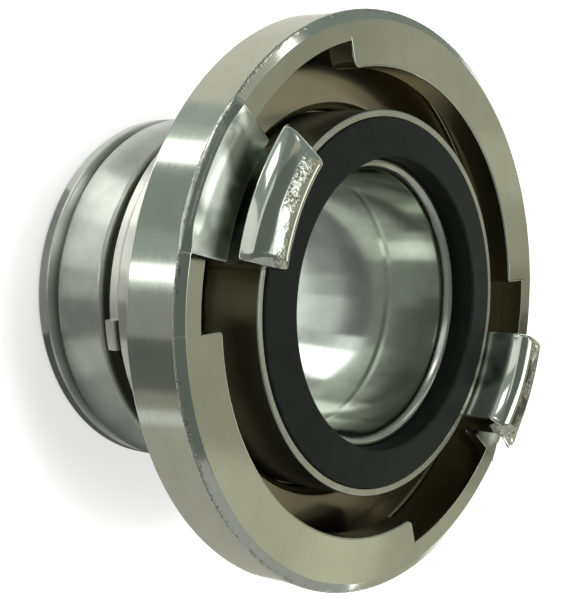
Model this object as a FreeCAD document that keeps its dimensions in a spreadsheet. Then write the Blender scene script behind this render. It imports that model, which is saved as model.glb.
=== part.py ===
import FreeCAD, Part
import Sketcher
import math
import os

# Claw hose coupling, millimetres and degrees.
# It stands on the open end of its tail with the common axis upright (Z).
# The origin is on the axis in the plane of that end, and the two claws lie along X.

doc = FreeCAD.newDocument("claw_coupling")

# Driving dimensions. Walls, steps and gaps are chained outwards from the bore and upwards from the tail end,
# so any one of them can change and its neighbours follow.
DIMENSIONS = [
    # fits
    ("bore_diameter", 45.0),
    ("turning_gap", 0.3),
    ("press_gap", 0.05),
    # walls and steps of the shank, outwards from the bore
    ("nipple_wall", 2.5),
    ("pocket_wall", 1.95),
    ("body_wall", 7.5),
    ("seat_drop", 0.95),
    ("clip_groove_depth", 1.6),
    ("collar_step", 2.5),
    ("rim_wall", 1.25),
    ("bore_bevel", 1.2),
    # lengths of the shank, up from the tail end
    ("neck_width", 2.2),
    ("clip_land", 2.25),
    ("collar_rise", 0.4),
    ("seal_pocket_depth", 6.6),
    ("pocket_wall_drop", 2.3),
    # ferrule
    ("ferrule_length", 17.4),
    ("ferrule_wall", 2.2),
    ("ferrule_grip", 2.0),
    ("ferrule_step", 0.9),
    ("hose_stop", 0.5),
    ("bead_width", 4.4),
    ("bead_height", 1.4),
    ("valley_width", 2.2),
    # retaining clip
    ("clip_width", 5.75),
    ("clip_thickness", 2.2),
    ("clip_opening", 30.0),
    ("clip_centre_angle", 234.4),
    ("clip_ear_angle", 8.2),
    ("clip_ear_rise", 1.1),
    # seal
    ("seal_rise", 1.7),
    ("seal_fall", 1.0),
    # claw ring: walls and steps outwards, lengths up to the front face
    ("hub_wall", 4.5),
    ("hub_length", 13.6),
    ("web_thickness", 5.2),
    ("web_inset", 0.9),
    ("claw_gap", 0.5),
    ("counterbore_depth", 4.8),
    ("channel_height", 5.4),
    ("lip_thickness", 4.8),
    ("lip_gap", 1.1),
    ("lip_overhang", 4.9),
    ("rim_thickness", 4.6),
    ("rim_skirt", 0.4),
    ("floor_break", 1.0),
    ("bevel_width", 1.7),
    ("bevel_depth", 0.8),
    # openings in the lip
    ("recess_step", 0.3),
    ("corner_rounding", 1.8),
    ("entry_angle", 35.0),
    ("notch_angle", 14.6),
    # claws
    ("claw_angle", 29.8),
    ("claw_wall", 5.4),
    ("claw_hook", 4.6),
    ("claw_lift", 0.3),
    ("claw_edge", 1.9),
    ("claw_crown", 1.1),
    ("claw_inner_drop", 1.9),
    ("claw_relief", 2.0),
    ("end_bevel", 2.6),
]

sizes = doc.addObject("Spreadsheet::Sheet", "sizes")
for row, (alias, value) in enumerate(DIMENSIONS, start=1):
    sizes.set("A%d" % row, alias)
    sizes.set("B%d" % row, str(value))
    sizes.setAlias("B%d" % row, alias)
doc.recompute()


def new_body(label):
    body = doc.addObject("PartDesign::Body", label)
    body.Label = label
    return body


def origin_feature(body, name):
    for feature in body.Origin.OriginFeatures:
        if feature.Role == name:
            return feature
    raise ValueError(name)


def place_sketch(body, label, plane, turn=None):
    """Empty sketch on an origin plane, turned about the upright axis by an expression if one is given."""
    sketch = body.newObject("Sketcher::SketchObject", label)
    sketch.AttachmentSupport = [(origin_feature(body, plane), "")]
    sketch.MapMode = "FlatFace"
    if turn:
        sketch.AttachmentOffset = FreeCAD.Placement(
            FreeCAD.Vector(0, 0, 0), FreeCAD.Rotation(FreeCAD.Vector(0, 1, 0), 1))
        sketch.setExpression("AttachmentOffset.Rotation.Angle", turn)
    return sketch


def fix_point(sketch, geometry, end, across, up):
    """Hold one point at two expressions, measured from the sketch origin."""
    for kind, text, other_axis in (("DistanceX", across, -2), ("DistanceY", up, -1)):
        value = float(sketch.evalExpression(text))
        if text == "0":
            sketch.addConstraint(Sketcher.Constraint("PointOnObject", geometry, end, other_axis))
        else:
            number = sketch.addConstraint(Sketcher.Constraint(kind, -1, 1, geometry, end, value))
            sketch.setExpression("Constraints[%d]" % number, text)


def draw_outline(sketch, corners):
    """Closed outline. A corner is (across, up), or (across, up, mid across, mid up) to arrive by an arc."""
    def point(across, up):
        return FreeCAD.Vector(float(sketch.evalExpression(across)), float(sketch.evalExpression(up)), 0)

    edges = []
    for index, corner in enumerate(corners):
        start = corners[index - 1]
        first, last = point(*start[:2]), point(*corner[:2])
        if len(corner) == 4:
            arc = Part.Arc(first, point(*corner[2:]), last)
            edge = sketch.addGeometry(arc, False)
            centre = sketch.Geometry[edge].Center
            turn = (first - centre).cross(last - centre).z
            # an arc always runs anticlockwise, so the end it starts from depends on its sense
            ends = (1, 2) if turn > 0 else (2, 1)
        else:
            edge = sketch.addGeometry(Part.LineSegment(first, last), False)
            ends = (1, 2)
        edges.append((edge, ends))
    for index, corner in enumerate(corners):
        edge, ends = edges[index]
        following, following_ends = edges[(index + 1) % len(corners)]
        sketch.addConstraint(
            Sketcher.Constraint("Coincident", edge, ends[1], following, following_ends[0]))
        fix_point(sketch, edge, ends[1], corner[0], corner[1])
        if len(corner) == 4:
            mid = sketch.addGeometry(Part.Point(point(*corner[2:])), True)
            fix_point(sketch, mid, 1, corner[2], corner[3])
            sketch.addConstraint(Sketcher.Constraint("PointOnObject", mid, 1, edge))


def turn_profile(body, kind, label, sketch, angle=None):
    """Revolution or groove about the upright axis, half to each side of its sketch when an angle is given."""
    feature = body.newObject("PartDesign::" + kind, label)
    feature.Profile = sketch
    feature.ReferenceAxis = (sketch, ["V_Axis"])
    feature.Angle = 360
    if angle:
        feature.Midplane = True
        feature.setExpression("Angle", angle)
    sketch.Visibility = False
    doc.recompute()
    return feature


def repeat_opposite(body, label, feature):
    """Second copy half a turn further round."""
    pattern = body.newObject("PartDesign::PolarPattern", label)
    pattern.Originals = [feature]
    pattern.Axis = (origin_feature(body, "Z_Axis"), [""])
    pattern.Angle = 360
    pattern.Occurrences = 2
    body.Tip = pattern
    doc.recompute()
    return pattern


# Claw ring
# One forging, bored straight through at the claw spacing, with a shoulder and a hub for the shank.
# Its front lip overhangs a channel in which the other coupling's claws turn.

ring = new_body("claw_ring")
BORE = "sizes.bore_diameter / 2"
BODY = BORE + " + sizes.body_wall"
COLLAR = BODY + " + sizes.collar_step"
HUB_BORE = BODY + " + sizes.turning_gap"
HUB = HUB_BORE + " + sizes.hub_wall"
CLAW_BORE = COLLAR + " + sizes.claw_gap"
ARM = CLAW_BORE + " + sizes.claw_wall"
LIP = ARM + " + sizes.lip_gap"
CHANNEL = LIP + " + sizes.lip_overhang"
OUTSIDE = CHANNEL + " + sizes.rim_thickness"

NECK = "sizes.ferrule_length + sizes.neck_width"
CLIP_BOTTOM = NECK + " + sizes.clip_land + sizes.press_gap"
CLIP_TOP = CLIP_BOTTOM + " + sizes.clip_thickness"
HUB_END = CLIP_TOP + " + sizes.turning_gap"
SHOULDER = HUB_END + " + sizes.hub_length"
FLOOR = SHOULDER + " + sizes.counterbore_depth"
LIP_BOTTOM = FLOOR + " + sizes.channel_height"
FACE = LIP_BOTTOM + " + sizes.lip_thickness"
WEB_BACK = FLOOR + " - sizes.web_thickness"

section = place_sketch(ring, "ring_section", "XZ_Plane")
draw_outline(section, [
    (HUB_BORE, HUB_END),
    (HUB, HUB_END),
    (HUB, HUB_END + " + sizes.hub_length * 0.4"),
    (HUB + " + sizes.web_thickness", WEB_BACK),
    (CHANNEL + " - sizes.web_inset", WEB_BACK),
    (OUTSIDE, FLOOR + " - sizes.rim_skirt"),
    (OUTSIDE, FACE + " - sizes.bevel_depth"),
    (OUTSIDE + " - sizes.bevel_width", FACE),
    (LIP, FACE),
    (LIP, LIP_BOTTOM),
    (CHANNEL, LIP_BOTTOM),
    (CHANNEL, FLOOR),
    (CLAW_BORE + " + sizes.floor_break", FLOOR),
    (CLAW_BORE, FLOOR + " - sizes.floor_break"),
    (CLAW_BORE, SHOULDER),
    (HUB_BORE, SHOULDER),
])
turn_profile(ring, "Revolution", "ring_turning", section)

# The lip is open beside each claw: a long entry for the other claw on one side, a short notch on the other.
LIP_CUT = [
    (LIP + " - 2", LIP_BOTTOM),
    (CHANNEL + " - sizes.recess_step", LIP_BOTTOM),
    (CHANNEL + " - sizes.recess_step", FACE + " + 1"),
    (LIP + " - 2", FACE + " + 1"),
]

entry_outline = place_sketch(
    ring, "entry_outline", "XZ_Plane", "-(sizes.claw_angle + sizes.entry_angle) / 2")
draw_outline(entry_outline, LIP_CUT)
entry = turn_profile(ring, "Groove", "entry", entry_outline, "sizes.entry_angle")
repeat_opposite(ring, "entry_pair", entry)

notch_outline = place_sketch(
    ring, "notch_outline", "XZ_Plane", "(sizes.claw_angle + sizes.notch_angle) / 2")
draw_outline(notch_outline, LIP_CUT)
notch = turn_profile(ring, "Groove", "notch", notch_outline, "sizes.notch_angle")
repeat_opposite(ring, "notch_pair", notch)

# Claws: an upright arm on a solid root, with a crowned head hooked outwards over the lip.
TIP = ARM + " + sizes.claw_hook"
UNDER = FACE + " + sizes.lip_thickness + sizes.claw_lift"
EDGE = UNDER + " + sizes.claw_edge"
CROWN = EDGE + " + sizes.claw_crown"
claw_section = place_sketch(ring, "claw_section", "XZ_Plane")
draw_outline(claw_section, [
    (CLAW_BORE, FLOOR + " - sizes.floor_break - 1"),
    (CLAW_BORE, CROWN + " - sizes.claw_inner_drop"),
    (TIP, EDGE, ARM, CROWN),
    (TIP, UNDER),
    (ARM + " + 0.8", UNDER),
    (ARM, UNDER + " - 0.8"),
    (ARM, FACE + " - sizes.claw_relief"),
    (CHANNEL + " + 1", FACE + " - sizes.claw_relief"),
    (CHANNEL + " + 1", FLOOR + " - sizes.floor_break - 1"),
])
claw = turn_profile(ring, "Revolution", "claw", claw_section, "sizes.claw_angle")
repeat_opposite(ring, "claw_pair", claw)

# Both ends of each head are bevelled.
bevel_outline = place_sketch(ring, "claw_end_outline", "YZ_Plane")
HALF_CHORD = "(" + TIP + ") * sin(sizes.claw_angle / 2)"
draw_outline(bevel_outline, [
    (HALF_CHORD + " + 1", CROWN + " + 1"),
    (HALF_CHORD + " - sizes.end_bevel - 1", CROWN + " + 1"),
    (HALF_CHORD + " + 1", CROWN + " - sizes.end_bevel"),
])
bevel = ring.newObject("PartDesign::Pocket", "claw_end_bevel")
bevel.Profile = bevel_outline
bevel.Type = "ThroughAll"
bevel.Midplane = True
doc.recompute()
bevelled = repeat_opposite(ring, "claw_end_bevels", bevel)

# The free corners of the lip, where the other claw slides in under it, are rounded.
lip_radius = float(claw_section.evalExpression(LIP))
lip_height = float(claw_section.evalExpression("sizes.lip_thickness"))
free_corners = []
for number, edge in enumerate(bevelled.Shape.Edges, start=1):
    low, high = edge.BoundBox.ZMin, edge.BoundBox.ZMax
    radius = math.hypot(edge.CenterOfMass.x, edge.CenterOfMass.y)
    if abs(high - low - lip_height) < 0.01 and abs(radius - lip_radius) < 0.01:
        free_corners.append("Edge%d" % number)
rounding = ring.newObject("PartDesign::Fillet", "lip_corners")
rounding.Base = (bevelled, free_corners)
rounding.setExpression("Radius", "sizes.corner_rounding")
doc.recompute()

# Shank
# One turning: collar with the seal pocket at the front, body for the ring, groove for the clip,
# seat for the ferrule and a thin nipple for the hose.

shank = new_body("shank")
NIPPLE = BORE + " + sizes.nipple_wall"
SEAT = BODY + " - sizes.seat_drop"
SEAT_BOTTOM = "sizes.ferrule_length - sizes.ferrule_grip - sizes.hose_stop"
CLIP_GROOVE = BODY + " - sizes.clip_groove_depth"
POCKET = COLLAR + " - sizes.rim_wall"
POCKET_FLOOR = FACE + " - sizes.seal_pocket_depth"
INNER_WALL = BORE + " + sizes.pocket_wall"
INNER_TOP = FACE + " - sizes.pocket_wall_drop"
RIM_TOP = FACE + " + sizes.collar_rise"

shank_section = place_sketch(shank, "shank_section", "XZ_Plane")
draw_outline(shank_section, [
    (BORE, "0"),
    (NIPPLE, "0"),
    (NIPPLE, SEAT_BOTTOM),
    (SEAT, SEAT_BOTTOM),
    (SEAT, NECK),
    (BODY, NECK),
    (BODY, CLIP_BOTTOM + " - sizes.press_gap"),
    (CLIP_GROOVE, CLIP_BOTTOM + " - sizes.press_gap"),
    (CLIP_GROOVE, CLIP_TOP + " + sizes.press_gap"),
    (BODY, CLIP_TOP + " + sizes.press_gap"),
    (BODY, SHOULDER + " + sizes.turning_gap"),
    (COLLAR, SHOULDER + " + sizes.turning_gap"),
    (COLLAR, RIM_TOP),
    (POCKET, RIM_TOP),
    (POCKET, POCKET_FLOOR),
    (INNER_WALL, POCKET_FLOOR),
    (INNER_WALL, INNER_TOP),
    (BORE + " + sizes.bore_bevel", INNER_TOP),
    (BORE, INNER_TOP + " - sizes.bore_bevel"),
])
turn_profile(shank, "Revolution", "shank_turning", shank_section)

# Seal
# Soft ring in the collar's pocket, its face rising towards the bore and standing proud of the coupling face.

seal = new_body("seal")
seal_section = place_sketch(seal, "seal_section", "XZ_Plane")
draw_outline(seal_section, [
    (INNER_WALL + " + sizes.press_gap", POCKET_FLOOR + " + sizes.press_gap"),
    (POCKET + " - sizes.press_gap", POCKET_FLOOR + " + sizes.press_gap"),
    (POCKET + " - sizes.press_gap", FACE + " + sizes.seal_rise - sizes.seal_fall"),
    (INNER_WALL + " + sizes.press_gap", FACE + " + sizes.seal_rise"),
])
turn_profile(seal, "Revolution", "seal_moulding", seal_section)

# Retaining clip
# Flat split ring sprung into the shank's groove behind the hub, with one turned-up ear at its gap.

clip = new_body("retaining_clip")
CLIP_INNER = CLIP_GROOVE + " + sizes.press_gap"
CLIP_OUTER = CLIP_INNER + " + sizes.clip_width"
clip_section = place_sketch(clip, "clip_section", "XZ_Plane", "sizes.clip_centre_angle")
draw_outline(clip_section, [
    (CLIP_INNER, CLIP_BOTTOM),
    (CLIP_OUTER, CLIP_BOTTOM),
    (CLIP_OUTER, CLIP_TOP),
    (CLIP_INNER, CLIP_TOP),
])
turn_profile(clip, "Revolution", "clip_band", clip_section, "360 - sizes.clip_opening")
ear_section = place_sketch(
    clip, "ear_section", "XZ_Plane",
    "sizes.clip_centre_angle + 180 - (sizes.clip_opening + sizes.clip_ear_angle) / 2")
draw_outline(ear_section, [
    (CLIP_OUTER + " - 1", CLIP_BOTTOM),
    (CLIP_OUTER + " + sizes.clip_ear_rise", CLIP_BOTTOM),
    (CLIP_OUTER + " + sizes.clip_ear_rise", CLIP_TOP),
    (CLIP_OUTER + " - 1", CLIP_TOP),
])
turn_profile(clip, "Revolution", "clip_ear", ear_section, "sizes.clip_ear_angle")

# Ferrule
# Pressed sleeve that grips the shank's seat and leaves a ring-shaped space for the hose wall.

ferrule = new_body("ferrule")
SLEEVE_SEAT = SEAT + " + sizes.press_gap"
SLEEVE_BORE = SLEEVE_SEAT + " + sizes.ferrule_step"
SLEEVE = SLEEVE_BORE + " + sizes.ferrule_wall"
VALLEY = SLEEVE + " - sizes.bead_height"
FRONT = "sizes.ferrule_length"
ferrule_section = place_sketch(ferrule, "ferrule_section", "XZ_Plane")
draw_outline(ferrule_section, [
    (SLEEVE_BORE, "0"),
    (VALLEY, "0"),
    (SLEEVE, "sizes.bead_width * 0.3"),
    (SLEEVE, "sizes.bead_width * 0.7"),
    (VALLEY, "sizes.bead_width + sizes.valley_width / 4"),
    (SLEEVE, "sizes.bead_width + sizes.valley_width"),
    (SLEEVE, FRONT),
    (SLEEVE_SEAT, FRONT),
    (SLEEVE_SEAT, FRONT + " - sizes.ferrule_grip"),
    (SLEEVE_BORE, FRONT + " - sizes.ferrule_grip"),
])
turn_profile(ferrule, "Revolution", "ferrule_shell", ferrule_section)

# Check and export
doc.recompute()
for item in doc.Objects:
    if "Invalid" in item.State or "Error" in item.State:
        raise RuntimeError("feature failed: " + item.Label)
bodies = [ring, shank, seal, clip, ferrule]
os.makedirs("parts", exist_ok=True)
for body in bodies:
    shape = body.Shape
    if shape.isNull() or not shape.isValid() or len(shape.Solids) != 1:
        raise RuntimeError("bad shape: " + body.Label)
    box = shape.BoundBox
    print("%-15s volume %9.1f  x %.1f..%.1f  y %.1f..%.1f  z %.2f..%.2f" % (
        body.Label, shape.Volume, box.XMin, box.XMax, box.YMin, box.YMax, box.ZMin, box.ZMax))
    shape.exportStep("parts/%s.step" % body.Label)
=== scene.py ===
import bpy
import bmesh
import math
from mathutils import Matrix, Vector


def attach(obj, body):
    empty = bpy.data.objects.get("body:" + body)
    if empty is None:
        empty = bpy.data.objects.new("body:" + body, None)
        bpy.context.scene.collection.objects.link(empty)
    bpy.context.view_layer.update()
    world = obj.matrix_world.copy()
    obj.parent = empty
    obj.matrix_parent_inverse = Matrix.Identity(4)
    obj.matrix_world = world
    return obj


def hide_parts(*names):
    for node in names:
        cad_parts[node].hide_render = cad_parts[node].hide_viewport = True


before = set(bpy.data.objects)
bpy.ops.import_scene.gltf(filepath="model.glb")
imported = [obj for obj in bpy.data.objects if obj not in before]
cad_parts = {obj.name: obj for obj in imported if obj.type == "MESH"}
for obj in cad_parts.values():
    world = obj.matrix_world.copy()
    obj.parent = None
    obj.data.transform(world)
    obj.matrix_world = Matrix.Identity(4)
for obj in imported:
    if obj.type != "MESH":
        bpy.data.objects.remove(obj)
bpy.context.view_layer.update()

# Shank
# The hose tail, turned in one piece from aluminium bar. Its collar carries the seal, its body is the bearing
# for the ring, and the thin nipple inside the ferrule goes into the hose.

MM = 0.001

# Radii in millimetres, and heights above the tail's end.
BORE, INNER_WALL, NIPPLE, CLIP_GROOVE = 22.5, 24.45, 25.0, 28.4
SEAT, BODY, POCKET, COLLAR = 29.05, 30.0, 31.25, 32.5
SEAT_START, SEAT_END, GROOVE_LOW, GROOVE_HIGH = 14.9, 19.6, 21.85, 24.15
COLLAR_BACK, POCKET_FLOOR, WALL_TOP, FACE = 38.3, 46.4, 50.7, 53.0
MOUTH_WIDE, MOUTH_DEEP = 1.4, 2.2


def rounded(corners, steps=4):
    """Closed outline in millimetres. Each corner (across, up, rounding) becomes a short arc."""
    points = []
    for index, (across, up, rounding) in enumerate(corners):
        here = Vector((across, up))
        back = Vector(corners[index - 1][:2]) - here
        onward = Vector(corners[(index + 1) % len(corners)][:2]) - here
        if rounding == 0:
            points.append(here)
            continue
        half = back.angle(onward) / 2
        reach = min(rounding / math.tan(half), 0.45 * back.length, 0.45 * onward.length)
        back.normalize()
        onward.normalize()
        centre = here + (back + onward).normalized() * reach / math.cos(half)
        first = here + back * reach - centre
        last = here + onward * reach - centre
        turn = first.angle(last)
        # one point on the flat beside each arc keeps the flat's shading flat
        points.append(here + back * (reach + 0.02))
        for step in range(steps + 1):
            share = step / steps
            bent = first * math.sin((1 - share) * turn) + last * math.sin(share * turn)
            points.append(centre + bent / math.sin(turn))
        points.append(here + onward * (reach + 0.02))
    return points


def skin(mesh, columns, closed=True):
    """Adds a closed skin through outlines that stand at angles about the axis, in degrees."""
    made = bmesh.new()
    rows = []
    for angle, outline in columns:
        turn = math.radians(angle)
        rows.append([
            made.verts.new((p[0] * math.cos(turn) * MM, p[0] * math.sin(turn) * MM, p[1] * MM))
            for p in outline])
    for index in range(len(rows) if closed else len(rows) - 1):
        this, following = rows[index], rows[(index + 1) % len(rows)]
        for k in range(len(this)):
            n = (k + 1) % len(this)
            made.faces.new((this[k], following[k], following[n], this[n]))
    if not closed:
        made.faces.new(rows[0])
        made.faces.new(rows[-1])
    bmesh.ops.recalc_face_normals(made, faces=made.faces)
    for face in made.faces:
        face.smooth = True
    made.from_mesh(mesh)
    made.to_mesh(mesh)
    made.free()


def turned(name, outline):
    """Mesh of an outline turned full circle about the axis."""
    mesh = bpy.data.meshes.new(name)
    skin(mesh, [(angle, outline) for angle in range(360)])
    return mesh


def piece(name, mesh, node, body, material):
    """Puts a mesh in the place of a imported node."""
    mesh.set_sharp_from_angle(angle=math.radians(32))
    thing = bpy.data.objects.new(name, mesh)
    bpy.context.scene.collection.objects.link(thing)
    mesh.materials.append(material)
    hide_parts(node)
    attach(thing, body)


def linear(colour):
    """Linear colour from an sRGB hex value."""
    parts = [int(colour[i:i + 2], 16) / 255 for i in (1, 3, 5)]
    return tuple(p / 12.92 if p <= 0.04045 else ((p + 0.055) / 1.055) ** 2.4 for p in parts) + (1.0,)


def give(tree, node, inputs):
    """Fills a node's inputs. A value that is a socket is linked, and any other is set."""
    for key, value in inputs.items():
        if isinstance(value, bpy.types.NodeSocket):
            tree.links.new(value, node.inputs[key])
        else:
            node.inputs[key].default_value = value


def add(tree, kind, inputs=None, **settings):
    """Adds one node with its settings and fills its inputs."""
    made = tree.nodes.new("ShaderNode" + kind)
    for key, value in settings.items():
        setattr(made, key, value)
    give(tree, made, inputs or {})
    return made


def new_finish(name):
    """Material with an empty tree but for the surface shader and the output."""
    material = bpy.data.materials.new(name)
    material.use_nodes = True
    return material, material.node_tree, material.node_tree.nodes["Principled BSDF"]


def in_millimetres(tree):
    """The object's own coordinates in millimetres, as a socket."""
    place = add(tree, "TexCoord").outputs["Object"]
    return add(tree, "VectorMath", {0: place, "Scale": 1 / MM}, operation="SCALE").outputs[0]


def about_axis(tree, place):
    """Radius, height and turn about the axis, as sockets."""
    split = add(tree, "SeparateXYZ", {0: place})
    flat = add(tree, "CombineXYZ", {0: split.outputs[0], 1: split.outputs[1]}).outputs[0]
    radius = add(tree, "VectorMath", {0: flat}, operation="LENGTH").outputs["Value"]
    turn = add(tree, "Math", {0: split.outputs[1], 1: split.outputs[0]}, operation="ARCTAN2").outputs[0]
    return radius, split.outputs[2], turn


def mottled(tree, place, size, detail, dark, light, low=0.3, high=0.7):
    """Two colours in soft patches. Size is the noise's scale per millimetre, low and high are its limits."""
    noise = add(tree, "TexNoise", {"Vector": place, "Scale": size, "Detail": detail}).outputs["Fac"]
    tone = add(tree, "MapRange", {"Value": noise, "From Min": low, "From Max": high}).outputs[0]
    mix = add(tree, "Mix", {"Factor": tone, "A": linear(dark), "B": linear(light)}, data_type="RGBA")
    return mix.outputs["Result"]


# Tool marks 0.1 mm apart are drawn about 0.4 mm apart, so that they show.
MARK_PITCH = 0.4


def tool_marks(tree, radius, height, turn, breaks, detail):
    """Noise drawn out into rings about the axis. Breaks is how often a ring changes along its way."""
    stretched = [
        add(tree, "Math", {0: value, 1: factor}, operation="MULTIPLY").outputs[0]
        for value, factor in ((radius, 1 / MARK_PITCH), (height, 1 / MARK_PITCH), (turn, breaks))]
    place = add(tree, "CombineXYZ", dict(enumerate(stretched))).outputs[0]
    return add(tree, "TexNoise", {"Vector": place, "Scale": 1.0, "Detail": detail}).outputs["Fac"]


# Turned aluminium: a soft satin with fine rings left by the tool, and a bore reamed almost to a mirror.
turned_aluminium, tree, surface = new_finish("turned_aluminium")
large = in_millimetres(tree)
radius, height, turn = about_axis(tree, large)
rings = tool_marks(tree, radius, height, turn, 0.8, 1.0)
satin = add(tree, "MapRange", {
    "Value": rings, "From Min": 0.3, "From Max": 0.7, "To Min": 0.2, "To Max": 0.26})
in_bore = add(tree, "Math", {0: radius, 1: BORE + 0.2}, operation="LESS_THAN").outputs[0]
collar_side = add(tree, "Math", {0: radius, 1: COLLAR - 0.2}, operation="GREATER_THAN").outputs[0]
rough = satin.outputs[0]
for mask, roughness in ((in_bore, 0.12), (collar_side, 0.32)):
    rough = add(tree, "Mix", {"Factor": mask, "A": rough, "B": roughness}).outputs["Result"]
depth = add(tree, "Mix", {"Factor": in_bore, "A": 0.12, "B": 0.02}).outputs["Result"]
bump = add(tree, "Bump", {"Height": rings, "Strength": depth, "Distance": 0.02 * MM})
give(tree, surface, {
    "Base Color": mottled(tree, large, 0.25, 4.0, "#b2b5ab", "#bfc2b8"),
    "Metallic": 1.0,
    "Roughness": rough,
    "Normal": bump.outputs[0]})

shank_outline = rounded([
    (BORE, 0.0, 0.4),
    (NIPPLE, 0.0, 0.3),
    (NIPPLE, SEAT_START, 0.3),
    (SEAT, SEAT_START, 0.2),
    (SEAT, SEAT_END, 0.3),
    (BODY, SEAT_END, 0.4),
    (BODY, GROOVE_LOW, 0.15),
    (CLIP_GROOVE, GROOVE_LOW, 0.1),
    (CLIP_GROOVE, GROOVE_HIGH, 0.1),
    (BODY, GROOVE_HIGH, 0.15),
    (BODY, COLLAR_BACK, 0.3),
    (COLLAR, COLLAR_BACK, 0.3),
    (COLLAR, FACE + 0.4, 0.25),
    (POCKET, FACE + 0.4, 0.2),
    (POCKET, POCKET_FLOOR, 0.2),
    (INNER_WALL, POCKET_FLOOR, 0.2),
    (INNER_WALL, WALL_TOP, 0.25),
    # the bore's mouth is broken with a soft round
    *[(BORE + MOUTH_WIDE * (1 - math.cos(math.radians(a))),
       WALL_TOP - MOUTH_DEEP * (1 - math.sin(math.radians(a))), 0) for a in range(90, -1, -10)],
    # a shallow ring that the boring tool left
    (BORE, 38.0, 0.3),
    (BORE + 0.03, 37.0, 0.3),
    (BORE, 36.0, 0.3),
])
shank_mesh = turned("shank_turned", shank_outline)
piece("shank_turned", shank_mesh, "shank", "tail", turned_aluminium)

# Seal
# One moulded ring of black rubber, pressed into the collar's pocket. Its face slopes up towards the bore,
# so that two couplings squeeze each other's lips.

# Moulded rubber: a dull black that greys a little where it faces the light. The grain
# of the mould is about 0.3 mm across.
black_rubber, tree, surface = new_finish("black_rubber")
large = in_millimetres(tree)
dust = add(tree, "TexNoise", {"Vector": large, "Scale": 0.3, "Detail": 5.0}).outputs["Fac"]
rough = add(tree, "MapRange", {"Value": dust, "To Min": 0.45, "To Max": 0.65})
grain = add(tree, "TexNoise", {"Vector": large, "Scale": 3.0, "Detail": 3.0}).outputs["Fac"]
bump = add(tree, "Bump", {"Height": grain, "Strength": 0.3, "Distance": 0.05 * MM})
give(tree, surface, {
    "Base Color": mottled(tree, large, 0.3, 5.0, "#070a08", "#0f1310", 0.35, 0.75),
    "Specular IOR Level": 0.25,
    "Roughness": rough.outputs[0],
    "Normal": bump.outputs[0]})

SEAL_PLAY, OUTER_LIP, INNER_LIP = 0.05, FACE + 0.7, FACE + 1.7
seal_mesh = turned("seal_ring", rounded([
    (INNER_WALL + SEAL_PLAY, POCKET_FLOOR + SEAL_PLAY, 0.2),
    (POCKET - SEAL_PLAY, POCKET_FLOOR + SEAL_PLAY, 0.2),
    (POCKET - SEAL_PLAY, OUTER_LIP, 0.4),
    (INNER_WALL + SEAL_PLAY, INNER_LIP, 0.5),
]))
piece("seal_ring", seal_mesh, "seal", "tail", black_rubber)

# Claw ring
# One aluminium forging, turned bright on its rim and face. Its lip hangs over a channel for the other
# coupling's claws, and is open beside each claw: a long entry on one side and a short notch on the other.

# Radii in millimetres, and heights above the tail's end.
RING_BORE, CLAW_BORE, HUB, ARM, LIP, HEAD = 30.3, 33.0, 34.8, 38.4, 39.5, 43.0
CONE_RIM, WEB_RIM, RECESS, CHANNEL, RIM = 40.0, 43.5, 44.1, 44.4, 48.98
HUB_BACK, CONE_BACK, WEB_BACK, COUNTERBORE, RIM_BACK = 24.4, 29.84, 37.6, 38.0, 42.4
FLOOR, LIP_BOTTOM, UNDER, CROWN = 42.8, 48.2, FACE + 5.1, FACE + 8.09
# Turns about the axis in degrees: half a claw, the long entry and the short notch.
HALF_CLAW, ENTRY, NOTCH = 14.9, 35.0, 14.6
ENTRY_CORNER, NOTCH_CORNER, LIP_EDGE = 1.8, 0.7, 0.35
# The bevel at the rim, and the curve that takes its place under a hook.
BEVEL_WIDE, BEVEL_DEEP = 1.7, 0.8
CURVE_WIDE, CURVE_DEEP, CURVE_POWER = 5.6, 0.95, 1.6

# Satin aluminium: the rim turned so that highlights cross it as straight bands, the face and lip almost a
# mirror, and the cast channel and counterbore duller and browner. Pits are left open on the heads and the
# rim's edge.
satin_aluminium, tree, surface = new_finish("satin_aluminium")
large = in_millimetres(tree)
radius, height, turn = about_axis(tree, large)
rings = tool_marks(tree, radius, height, turn, 1.5, 2.0)


def product(*factors):
    """Product of masks, where each is a socket or a number."""
    result = factors[0]
    for factor in factors[1:]:
        result = add(tree, "Math", {0: result, 1: factor}, operation="MULTIPLY").outputs[0]
    return result


def zone(radii, heights):
    """Mask that is 1 between two radii and two heights, and 0 elsewhere."""
    masks = []
    for value, (low, high) in ((radius, radii), (height, heights)):
        masks.append(add(tree, "Math", {0: value, 1: low}, operation="GREATER_THAN").outputs[0])
        masks.append(add(tree, "Math", {0: value, 1: high}, operation="LESS_THAN").outputs[0])
    return product(*masks)


# The channel is the part below the face and inside the lip's underside. One side of it is darkened with
# painted shade for the lip's shadow.
channel = zone((BODY, CHANNEL + 0.2), (COUNTERBORE - 0.1, FACE - 0.4))
aside = add(tree, "Math", {0: turn, 1: 2.0}, operation="SUBTRACT").outputs[0]
aside = add(tree, "Math", {0: aside}, operation="COSINE").outputs[0]
painted_shade_side = add(tree, "MapRange", {"Value": aside, "From Min": 0.7, "From Max": 0.97}).outputs[0]
# painted shade: the channel's cast colour turns darker towards one side
cast_with_painted_shade = add(tree, "Mix", {
    "Factor": painted_shade_side, "A": linear("#a9a390"), "B": linear("#756f5f")}, data_type="RGBA").outputs["Result"]
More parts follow.
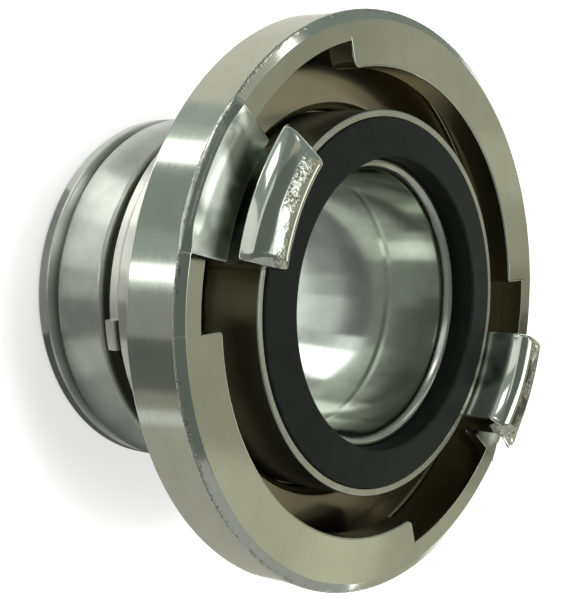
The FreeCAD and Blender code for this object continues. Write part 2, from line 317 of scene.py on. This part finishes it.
# Under each hook, and up each claw's inner wall, no tool reaches, and the grey skin of the forging stays.
# Towards the rim the skin hides more of the metal, and is smoother.
facing = add(tree, "Math", {0: turn}, operation="COSINE").outputs[0]
facing = add(tree, "Math", {0: facing}, operation="ABSOLUTE").outputs[0]
by_claw = add(tree, "Math", {
    0: facing, 1: math.cos(math.radians(HALF_CLAW - 0.05))}, operation="GREATER_THAN").outputs[0]
under_hook = product(zone((ARM - 0.4, RIM - 1.78), (FACE - 2.2, UNDER + 0.15)), by_claw)
claw_wall = zone((CLAW_BORE - 0.2, CLAW_BORE + 0.2), (FLOOR + 0.4, FACE + 5.8))
forged = add(tree, "Math", {0: under_hook, 1: claw_wall}, operation="MAXIMUM").outputs[0]
# The skin's colour is partly its own grey and partly painted light: darker patches of painted shade under the
# hooks, with lighter patches of painted sheen between them.
skin_and_painted_shade = mottled(tree, large, 0.12, 2.0, "#6b7164", "#c2cabd", 0.42, 0.58)
shining = add(tree, "MapRange", {
    "Value": radius, "From Min": 42.0, "From Max": 44.0, "To Min": 0.95, "To Max": 0.45})
metal = add(tree, "Mix", {"Factor": forged, "A": 1.0, "B": shining.outputs[0]}).outputs["Result"]
dull = add(tree, "MapRange", {
    "Value": radius, "From Min": 42.0, "From Max": 46.0, "To Min": 0.3, "To Max": 0.14})
# Pits of 0.3 to 0.6 mm: a band along each head's crest, and a line along the rim's front edge.
cells = add(tree, "TexNoise", {
    "Vector": large, "Scale": 1.9, "Detail": 2.0, "Roughness": 0.5}).outputs["Fac"]
patches = add(tree, "TexNoise", {"Vector": large, "Scale": 0.35, "Detail": 3.0}).outputs["Fac"]
patchy = add(tree, "MapRange", {"Value": patches, "From Min": 0.4, "From Max": 0.6}).outputs[0]
crest = product(zone((36.3, 39.2), (FACE + 5.6, FACE + 9)), patchy)
edge_line = product(zone((48.4, 48.97), (FACE - 2, FACE + 0.2)), patchy, 0.6)
pitted = add(tree, "Math", {0: crest, 1: edge_line}, operation="MAXIMUM").outputs[0]
pits = add(tree, "MapRange", {"Value": cells, "From Min": 0.5, "From Max": 0.56}).outputs[0]

colour = mottled(tree, large, 0.18, 5.0, "#bcc0b4", "#c4c8bc")
for mask, look in ((channel, cast_with_painted_shade), (forged, skin_and_painted_shade), (product(pits, pitted, 0.75), linear("#5a5746"))):
    colour = add(tree, "Mix", {"Factor": mask, "A": colour, "B": look}, data_type="RGBA").outputs["Result"]
satin = add(tree, "MapRange", {
    "Value": rings, "From Min": 0.3, "From Max": 0.7, "To Min": 0.15, "To Max": 0.2})
front = zone((0.0, 50.0), (FACE - 0.7, FACE + 9))
rough = satin.outputs[0]
for mask, roughness in ((front, 0.09), (channel, 0.2), (forged, dull.outputs[0]), (pitted, 0.22)):
    rough = add(tree, "Mix", {"Factor": mask, "A": rough, "B": roughness}).outputs["Result"]
lathe_marks = add(tree, "Bump", {"Height": rings, "Strength": 0.12, "Distance": 0.02 * MM})
open_pits = add(tree, "Bump", {
    "Height": cells, "Strength": pitted, "Distance": 0.16 * MM, "Normal": lathe_marks.outputs[0]})
# The turned rim spreads light along the axis more than round it, and the rest spreads it evenly.
on_rim = zone((RIM - 0.38, 50.0), (42.0, FACE - 0.7))
give(tree, surface, {
    "Base Color": colour,
    "Metallic": metal,
    "Roughness": rough,
    "Anisotropic": product(on_rim, 0.6),
    "Anisotropic Rotation": 0.25,
    "Tangent": add(tree, "Tangent", direction_type="RADIAL", axis="Z").outputs[0],
    "Normal": open_pits.outputs[0]})


def ring_outline(lip, drop, worn=0.0):
    """The ring's section where its lip reaches in to one radius. The lip's inner edge is lowered by drop.
    Worn goes from 0, a flat face with a bevel, to 1, a face that curves down to the rim under a hook."""
    def face_height(r):
        flat = FACE - BEVEL_DEEP * max(r - (RIM - BEVEL_WIDE), 0) / BEVEL_WIDE
        curved = FACE - CURVE_DEEP * (max(r - HEAD, 0) / CURVE_WIDE) ** CURVE_POWER
        return flat + (curved - flat) * worn

    across_face = (48.4, 47.9, 47.35, RIM - BEVEL_WIDE, 47.2, 46.6, 45.8, 45.0, 44.3)
    return rounded([
        (RING_BORE, HUB_BACK, 0.3),
        (HUB, HUB_BACK, 0.5),
        (HUB, CONE_BACK, 1.5),
        (CONE_RIM, WEB_BACK, 1.5),
        (WEB_RIM, WEB_BACK, 0.5),
        (RIM, RIM_BACK, 0.8),
        (RIM, FACE - BEVEL_DEEP - 0.5 * worn, 0.6),
        *[(r, face_height(r), 0) for r in across_face],
        (lip, FACE - drop, LIP_EDGE),
        (lip, LIP_BOTTOM, 0.3),
        (CHANNEL, LIP_BOTTOM, 0.4),
        (CHANNEL, FLOOR, 0.8),
        (CLAW_BORE + 1.0, FLOOR, 0.5),
        (CLAW_BORE, FLOOR - 1.0, 0.3),
        (CLAW_BORE, COUNTERBORE, 0.3),
        (RING_BORE, COUNTERBORE, 0.3),
    ])


def lip_stretch(start, end, start_corner, end_corner, worn=0.0):
    """Columns along one stretch of lip. A corner is the rounding of its end in plan, or 0."""
    def close_in(corner):
        steps = [LIP_EDGE * (1 - math.cos(math.radians(a))) for a in (0, 30, 50, 70, 90)]
        if corner:
            steps += [corner * (1 - math.cos(math.radians(a))) for a in range(20, 91, 10)]
        return sorted(set(steps))

    def setback(distance, size):
        return size - math.sqrt(size * size - (size - distance) ** 2) if distance < size else 0.0

    # the turn of one millimetre along the lip, whose middle lies 42 mm from the axis
    degree = math.degrees(1 / 42.0)
    angles = {start + d * degree for d in close_in(start_corner)}
    angles |= {end - d * degree for d in close_in(end_corner)}
    first, last = max(start_corner, LIP_EDGE) * degree, max(end_corner, LIP_EDGE) * degree
    count = math.ceil(end - start - first - last)
    angles |= {start + first + (end - start - first - last) * k / count for k in range(1, count)}
    columns = []
    for angle in sorted(angles):
        near, far = (angle - start) / degree, (end - angle) / degree
        lip = LIP + setback(near, start_corner) + setback(far, end_corner)
        drop = setback(near, LIP_EDGE) + setback(far, LIP_EDGE)
        # the worn curve fades in over 4 mm from each end
        blend = min(near / 4.0, far / 4.0, 1.0)
        columns.append((angle, ring_outline(lip, drop, worn * blend * blend * (3 - 2 * blend))))
    return columns


def recess_stretch(start, end):
    """Columns along one opening in the lip."""
    count = math.ceil(end - start)
    return [(start + (end - start) * k / count, ring_outline(RECESS, 0.0)) for k in range(count + 1)]


half_ring = (
    lip_stretch(-HALF_CLAW, HALF_CLAW, 0, 0, worn=1.0)
    + recess_stretch(HALF_CLAW, HALF_CLAW + NOTCH)
    + lip_stretch(HALF_CLAW + NOTCH, 180 - HALF_CLAW - ENTRY, NOTCH_CORNER, ENTRY_CORNER)
    + recess_stretch(180 - HALF_CLAW - ENTRY, 180 - HALF_CLAW))
ring_mesh = bpy.data.meshes.new("claw_ring_forged")
skin(ring_mesh, half_ring + [(angle + 180, outline) for angle, outline in half_ring])

# Each claw stands on a root that fills the channel, and its crowned head hooks outwards over the lip.
# The head's top runs from its rounded inner edge over the crest to its rounded outer edge. Each point is a
# radius and a drop below the crest.
HEAD_TOP = (
    (33.0, 3.3), (33.06, 2.7), (33.22, 2.15), (33.5, 1.6), (33.9, 1.12), (34.4, 0.7), (35.0, 0.35),
    (35.7, 0.1), (36.4, 0.0), (37.4, 0.05), (38.4, 0.16), (39.4, 0.36), (40.4, 0.66), (41.2, 1.0),
    (41.8, 1.38), (42.3, 1.82), (42.65, 2.25), (42.88, 2.62))
claw_outline = rounded([
    (CLAW_BORE, FLOOR - 1, 0),
    *[(across, CROWN - drop, 0) for across, drop in HEAD_TOP],
    (HEAD, UNDER, 0.15),
    (ARM, UNDER, 0.8),
    (ARM, FACE - 2, 0.5),
    (CHANNEL + 0.8, FACE - 2, 0),
    (CHANNEL + 0.8, FLOOR - 1, 0),
])


def inset(outline, amount):
    """The outline moved inwards along its own normals."""
    moved = []
    for index, point in enumerate(outline):
        along = outline[(index + 1) % len(outline)] - outline[index - 1]
        # the outline runs clockwise, so inwards is to its right
        moved.append(point + Vector((along.y, -along.x)).normalized() * amount)
    return moved


# The bevel at each end of a head: how far it reaches in, its fall, and the rounding where it meets the crown.
END_REACH, END_FALL, END_SOFT = 3.6, 0.7826, 0.6
CLAW_EDGE = 0.6


def claw_columns(centre):
    """Columns along one claw, with rounded sides and a bevel at each end of its head."""
    # the turn of one millimetre along the claw, whose middle lies 38 mm from the axis
    degree = math.degrees(1 / 38.0)
    steps = [(CLAW_EDGE * (1 - math.cos(math.radians(a))), CLAW_EDGE * (1 - math.sin(math.radians(a))))
             for a in (0, 22, 45, 67, 90)]
    inner = HALF_CLAW - CLAW_EDGE * degree
    places = [(-HALF_CLAW + d * degree, s) for d, s in steps]
    places += [(-inner + 2 * inner * k / 60, 0.0) for k in range(1, 60)]
    places += [(HALF_CLAW - d * degree, s) for d, s in reversed(steps)]
    half_chord = HEAD * math.sin(math.radians(HALF_CLAW))
    columns = []
    for angle, shrink in places:
        outline = []
        for point in inset(claw_outline, shrink):
            across = abs(point.x * math.sin(math.radians(angle)))
            limit = CROWN + 1 - (across - half_chord + END_REACH) * END_FALL
            gap = limit - point.y
            if gap < END_SOFT and point.y > UNDER:
                lowered = limit - END_SOFT * math.exp(gap / END_SOFT - 1)
                point = Vector((point.x, min(point.y, lowered)))
            outline.append(point)
        columns.append((centre + angle, outline))
    return columns


for centre in (0, 180):
    skin(ring_mesh, claw_columns(centre), closed=False)
piece("claw_ring_forged", ring_mesh, "claw_ring", "ring", satin_aluminium)

# Retaining clip
# Flat split ring of spring steel, sprung into the shank's groove behind the hub. One end is turned up as an
# ear for opening it.

# Radii and heights in millimetres, then turns in degrees: the opening, the clip's middle and the ear.
CLIP_INNER, CLIP_OUTER, CLIP_LOW, CLIP_HIGH, EAR_REACH = 28.45, 34.2, 21.9, 24.1, 1.1
OPENING, MIDDLE, EAR = 30.0, 234.4, 8.2
clip_mesh = bpy.data.meshes.new("retaining_clip_sprung")
clip_outline = rounded([
    (CLIP_INNER, CLIP_LOW, 0.3),
    (CLIP_OUTER, CLIP_LOW, 0.4),
    (CLIP_OUTER, CLIP_HIGH, 0.4),
    (CLIP_INNER, CLIP_HIGH, 0.3),
])
half_turn = 180 - OPENING / 2
skin(clip_mesh, [(MIDDLE + half_turn * k / 165, clip_outline) for k in range(-165, 166)], closed=False)
ear_outline = rounded([
    (CLIP_OUTER - 1, CLIP_LOW, 0.3),
    (CLIP_OUTER + EAR_REACH, CLIP_LOW, 0.4),
    (CLIP_OUTER + EAR_REACH, CLIP_HIGH, 0.4),
    (CLIP_OUTER - 1, CLIP_HIGH, 0.3),
])
ear_end = MIDDLE + half_turn
skin(clip_mesh, [(ear_end - EAR + EAR * k / 9, ear_outline) for k in range(10)], closed=False)

# Spring steel: a pale, soft satin, rougher than the ring's aluminium.
spring_steel, tree, surface = new_finish("spring_steel")
give(tree, surface, {
    "Base Color": mottled(tree, in_millimetres(tree), 0.6, 3.0, "#c6c7bc", "#d8d8ce", 0.0, 1.0),
    "Metallic": 1.0,
    "Roughness": 0.4})
piece("retaining_clip_sprung", clip_mesh, "retaining_clip", "tail", spring_steel)

# Ferrule
# Sleeve pressed from aluminium sheet over the shank's seat, with a rolled bead at its open end. The hose
# wall goes into the space inside it.

SLEEVE_INNER, GROOVE, SLEEVE_OUTER, PRESS_SEAT = 30.0, 30.8, 32.2, 29.1
SLEEVE_STEP, SLEEVE_TOP = 15.4, 17.4
ferrule_mesh = turned("ferrule_pressed", rounded([
    (SLEEVE_INNER, 0.0, 0.3),
    (GROOVE, 0.0, 0.3),
    (SLEEVE_OUTER, 1.0, 1.1),
    (SLEEVE_OUTER, 3.4, 1.1),
    (GROOVE, 4.95, 0.4),
    (SLEEVE_OUTER, 6.6, 0.7),
    (SLEEVE_OUTER, SLEEVE_TOP, 0.8),
    (PRESS_SEAT, SLEEVE_TOP, 0.3),
    (PRESS_SEAT, SLEEVE_STEP, 0.3),
    (SLEEVE_INNER, SLEEVE_STEP, 0.3),
], steps=6))

# Pressed aluminium: a dull satin, with painted shade darkening the groove beside the bead.
pressed_aluminium, tree, surface = new_finish("pressed_aluminium")
large = in_millimetres(tree)
sleeve_colour = mottled(tree, large, 0.2, 5.0, "#a5a9a0", "#b7bbb1")
depth = add(tree, "MapRange", {
    "Value": about_axis(tree, large)[0], "From Min": SLEEVE_OUTER - 0.3, "From Max": GROOVE + 0.2}).outputs[0]
# painted shade: the sleeve's colour darkens into the groove beside the bead
groove_painted_shade = add(tree, "Mix", {"Factor": depth, "A": sleeve_colour, "B": linear("#5a5d52")}, data_type="RGBA")
give(tree, surface, {"Base Color": groove_painted_shade.outputs["Result"], "Metallic": 1.0, "Roughness": 0.3})
piece("ferrule_pressed", ferrule_mesh, "ferrule", "tail", pressed_aluminium)

# Floor and light
# A plain white floor and surround, one soft lamp above, and cards and strips of light that only the bright
# metal mirrors. Some lie flat on the floor round the part, some below it, and the others stand as a tent.


def seen_directly(tree):
    """1 for rays that show a surface, 0 for those that only light the part."""
    rays = add(tree, "LightPath")
    seen = rays.outputs["Is Camera Ray"]
    for kind in ("Is Glossy Ray", "Is Transmission Ray"):
        seen = add(tree, "Math", {0: seen, 1: rays.outputs[kind]}, operation="MAXIMUM").outputs[0]
    return seen


# White floor: it shows as paper white, but the glow that makes it so throws no light on the part.
white_floor, tree, surface = new_finish("white_floor")
give(tree, surface, {"Base Color": linear("#f4f4f2"), "Roughness": 0.9})
strength = add(tree, "Math", {0: seen_directly(tree), 1: 0.5}, operation="MULTIPLY").outputs[0]
glow = add(tree, "Emission", {"Color": (1, 1, 1, 1), "Strength": strength})
both = add(tree, "AddShader", {0: surface.outputs[0], 1: glow.outputs[0]})
give(tree, tree.nodes["Material Output"], {"Surface": both.outputs[0]})

world = bpy.data.worlds.new("white_surround")
bpy.context.scene.world = world
world.use_nodes = True
tree = world.node_tree
level = add(tree, "MapRange", {"Value": seen_directly(tree), "To Min": 0.45, "To Max": 1.0})
give(tree, tree.nodes["Background"], {"Strength": level.outputs[0], "Color": (1, 1, 1, 1)})


def staged(name, rows, material):
    """Sheet through rows of points, in metres, that isn't part of the object."""
    made = bmesh.new()
    grid = [[made.verts.new(point) for point in row] for row in rows]
    for this, following in zip(grid, grid[1:]):
        for k in range(len(this) - 1):
            made.faces.new((this[k], following[k], following[k + 1], this[k + 1]))
    mesh = bpy.data.meshes.new(name)
    made.to_mesh(mesh)
    made.free()
    mesh.materials.append(material)
    thing = bpy.data.objects.new(name, mesh)
    bpy.context.scene.collection.objects.link(thing)
    return thing


def polar(radius, turn, height=0.0):
    """Point at a radius in metres, a turn in degrees and a height in metres."""
    return radius * math.cos(math.radians(turn)), radius * math.sin(math.radians(turn)), height


# The floor lies just below the part. It is open under the bore, so that light comes up through it.
floor_radii = ((BORE + 0.1) * MM, 1.5)
staged("floor", [[polar(r, turn, -0.0001) for r in floor_radii] for turn in range(0, 361, 5)], white_floor)


WHITE, COOL, WARM, FACED, BELOW = "#ffffff", "#f2fffa", "#fffdf0", "#fffde6", "#f8ffff"
# The height in metres that the tent and the lamp are centred on.
CENTRE = 0.045


def card(name, rows, level, tint):
    """Sheet of even light that only mirrors see."""
    material, tree = new_finish(name)[:2]
    glow = add(tree, "Emission", {"Color": linear(tint), "Strength": level})
    give(tree, tree.nodes["Material Output"], {"Surface": glow.outputs[0]})
    sheet = staged(name, rows, material)
    sheet.visible_camera = False
    sheet.visible_diffuse = False
    sheet.visible_shadow = False


def floor_cards(start, cards):
    """Cards flat on the floor, one after another. Each has a name, the edge that it ends at, a level and a
    tint. An edge is given by its turns at 38 mm and at 93 mm from the axis."""
    for name, end, level, tint in cards:
        rows = []
        for share in (0, 0.25, 0.5, 0.75, 1):
            near = Vector(polar(0.038, start[0] + (end[0] - start[0]) * share))
            far = Vector(polar(0.093, start[1] + (end[1] - start[1]) * share))
            rows.append([near, far, far + (far - near) * 7])
        card(name, rows, level, tint)
        start = end


def ring_cards(radii, height, start, cards, tint=WHITE):
    """Flat cards one after another about the axis. Each has a name, the turn that it ends at, and a level."""
    for name, end, level in cards:
        count = max(2, round((end - start) / 5))
        turns = [start + (end - start) * i / count for i in range(count + 1)]
        card(name, [[polar(r, turn, height) for r in radii] for turn in turns], level, tint)
        start = end


def tent_cards(distance, cards):
    """Curved cards round the part. Each has a name, two turns about the axis and two rises in degrees, a
    level and a tint."""
    for name, turns, rises, level, tint in cards:
        count = max(2, round(abs(turns[1] - turns[0]) / 5))
        rows = []
        for i in range(count + 1):
            turn = turns[0] + (turns[1] - turns[0]) * i / count
            row = []
            for j in range(7):
                rise = math.radians(rises[0] + (rises[1] - rises[0]) * j / 6)
                row.append(polar(distance * math.cos(rise), turn, CENTRE + distance * math.sin(rise)))
            rows.append(row)
        card(name, rows, level, tint)


# On the floor all round, mirrored by the rim: walls, and strips of light between them.
floor_cards((-71.4, -96.7), (
    ("light_wall", (-26.0, -36.2), 0.8, WARM),
    ("grey_wall_a", (-18.9, -27.3), 0.54, COOL),
    ("strip_a_edge", (-14.8, -22.3), 0.72, COOL),
    ("strip_a", (-9.0, -15.1), 3.0, WHITE),
    ("grey_wall_b", (8.0, 5.5), 0.39, COOL),
    ("grey_wall_c", (16.3, 15.0), 0.49, COOL),
    ("strip_b", (19.8, 19.6), 3.0, WHITE),
    ("strip_b_edge", (21.5, 21.8), 0.85, COOL),
    ("grey_wall_d", (33.2, 35.7), 0.38, WHITE),
    ("dark_card", (46.1, 51.2), 0.16, WHITE),
    ("grey_wall_e", (50.8, 57.0), 0.36, WARM),
    ("strip_c", (54.3, 61.3), 0.85, WHITE),
    ("grey_wall_f", (114.0, 139.5), 0.5, WARM)))

# Close round the tail, mirrored by the bead and the ferrule.
ring_cards((0.0325, 0.038), 0.0002, 270, (
    ("bead_light", 350, 1.1), ("bead_grey", 400, 0.4), ("bead_dark", 560, 0.12)))
ring_cards((0.038, 0.062), 0.0002, 250, (
    ("near_grey", 336, 0.66), ("near_strip", 357, 2.0), ("near_light", 376, 1.25),
    ("near_grey_a", 388, 0.65), ("near_dark", 404, 0.3), ("near_grey_b", 420, 0.7),
    ("near_grey_c", 442, 0.45), ("near_grey_d", 480, 0.33), ("near_grey_e", 540, 0.2)))

# Below the floor, seen only through the bore.
ring_cards((0.0, 0.045), -0.04, -70, (("cellar_inner_a", 110, 1.5), ("cellar_inner_b", 290, 0.65)), BELOW)
ring_cards((0.045, 0.062), -0.04, 288, (
    ("cellar_strip", 326, 2.7), ("cellar_grey", 345, 0.8), ("cellar_light", 385, 1.05),
    ("cellar_grey_a", 410, 0.65), ("cellar_grey_b", 440, 0.42), ("cellar_grey_c", 560, 0.34),
    ("cellar_grey_d", 652, 0.6)), BELOW)
ring_cards((0.062, 0.078), -0.04, 288, (("cellar_strip_mid", 326, 3.0), ("cellar_edge_mid", 343, 1.4)), BELOW)
ring_cards((0.078, 0.3), -0.04, 290, (("cellar_strip_far", 323, 1.0), ("cellar_edge_far", 343, 0.6)), BELOW)
ring_cards((0.062, 0.3), -0.04, 343, (
    ("cellar_dark_far", 440, 0.17), ("cellar_grey_far", 580, 0.25), ("cellar_back_far", 650, 0.5)), BELOW)

# The tent: a grey wall for the front face, strips that go on up from the floor, and a darker roof.
tent_cards(0.6, (
    ("face_wall_a", (160, 189), (0, 35), 0.52, FACED),
    ("face_wall_b", (160, 187.5), (35, 39), 0.78, FACED),
    ("face_wall_c", (160, 187.5), (39, 50), 0.64, FACED),
    ("face_wall_d", (187.5, 203), (37, 51), 0.43, FACED),
    ("face_wall_e", (187.5, 191.5), (0, 37), 0.4, FACED),
    ("face_wall_dark", (191.5, 201), (0, 37), 0.12, FACED),
    ("face_wall_f", (201, 204), (0, 37), 0.32, FACED),
    ("face_wall_g", (204, 208.5), (0, 37), 0.46, FACED),
    ("face_wall_h", (208.5, 213), (0, 37), 0.6, FACED),
    ("face_wall_i", (213, 222), (0, 37), 0.5, FACED),
    ("face_wall_j", (203, 222), (37, 51), 0.42, FACED),
    ("side_wall_a", (222, 258), (0, 62), 0.34, COOL),
    ("side_light", (258, 286), (36, 62), 0.55, WARM),
    ("side_wall_f", (258, 286), (0, 36), 0.34, COOL),
    ("side_wall_g", (286, 313), (0, 62), 0.3, COOL),
    ("strip_a_up", (321, 334), (20, 43), 3.4, WHITE),
    ("side_wall_b", (313, 321), (0, 55), 0.42, COOL),
    ("side_wall_c", (334, 346), (0, 55), 0.42, COOL),
    ("side_wall_d", (321, 334), (43, 55), 0.42, COOL),
    ("side_wall_e", (321, 334), (0, 20), 0.6, COOL),
    ("strip_b_up", (346, 366), (0, 50), 1.1, WHITE),
    ("camera_wall", (6, 110), (0, 58), 0.28, WHITE),
    ("camera_wall_b", (110, 160), (0, 58), 0.5, WHITE),
    ("roof_a", (222, 366), (62, 90), 0.2, COOL),
    ("roof_b", (6, 160), (58, 90), 0.2, COOL),
    ("roof_c", (160, 190), (50, 90), 0.25, COOL),
    ("roof_d", (190, 222), (51, 74), 1.2, COOL),
    ("roof_e", (190, 222), (74, 90), 0.4, COOL)))
# Bright cards hang a little nearer than the walls.
tent_cards(0.55, (
    ("lamp_low", (203, 218), (54, 66), 5.0, WHITE),
    ("lamp_lip", (223, 235), (59, 68), 3.5, WHITE),
    ("lamp_claw", (197.3, 203), (12, 25), 1.8, WARM),
    ("lamp_edge", (158, 163), (14, 19), 3.0, WHITE),
    ("lamp_bevel", (262, 271), (38, 48), 3.0, WHITE)))

# One soft square lamp faces the part from above, out of the metal's sight.
light = bpy.data.lights.new("overhead", "AREA")
light.shape = "SQUARE"
light.size = 0.6
light.energy = 12.0
overhead = bpy.data.objects.new("overhead", light)
overhead.location = (0.1, -0.1, 0.9)
away = Vector(overhead.location) - Vector((0, 0, CENTRE))
overhead.rotation_euler = away.to_track_quat("Z", "Y").to_euler()
overhead.visible_glossy = False
bpy.context.scene.collection.objects.link(overhead)

# Camera
# It looks down on the front face from the side of one claw, and lies on its side, as the part does in the
# photograph.

east, north, up = Vector((0.91531, 0.40275, 0)), Vector((-0.40275, 0.91531, 0)), Vector((0, 0, 1))
right = -0.65158 * east - 0.046289 * north + 0.757169 * up
top = -0.998137 * north - 0.06102 * up
toward = 0.758583 * east - 0.0397594 * north + 0.650362 * up
camera_data = bpy.data.cameras.new("camera")
camera_data.lens = 80
camera_data.sensor_fit = "VERTICAL"
camera_data.sensor_height = 36
camera = bpy.data.objects.new("camera", camera_data)
camera.matrix_world = Matrix((
    (right.x, top.x, toward.x, 0.1694),
    (right.y, top.y, toward.y, 0.0649),
    (right.z, top.z, toward.z, 0.1872),
    (0, 0, 0, 1)))
bpy.context.scene.collection.objects.link(camera)
bpy.context.scene.camera = camera
bpy.context.scene.view_settings.view_transform = "Standard"
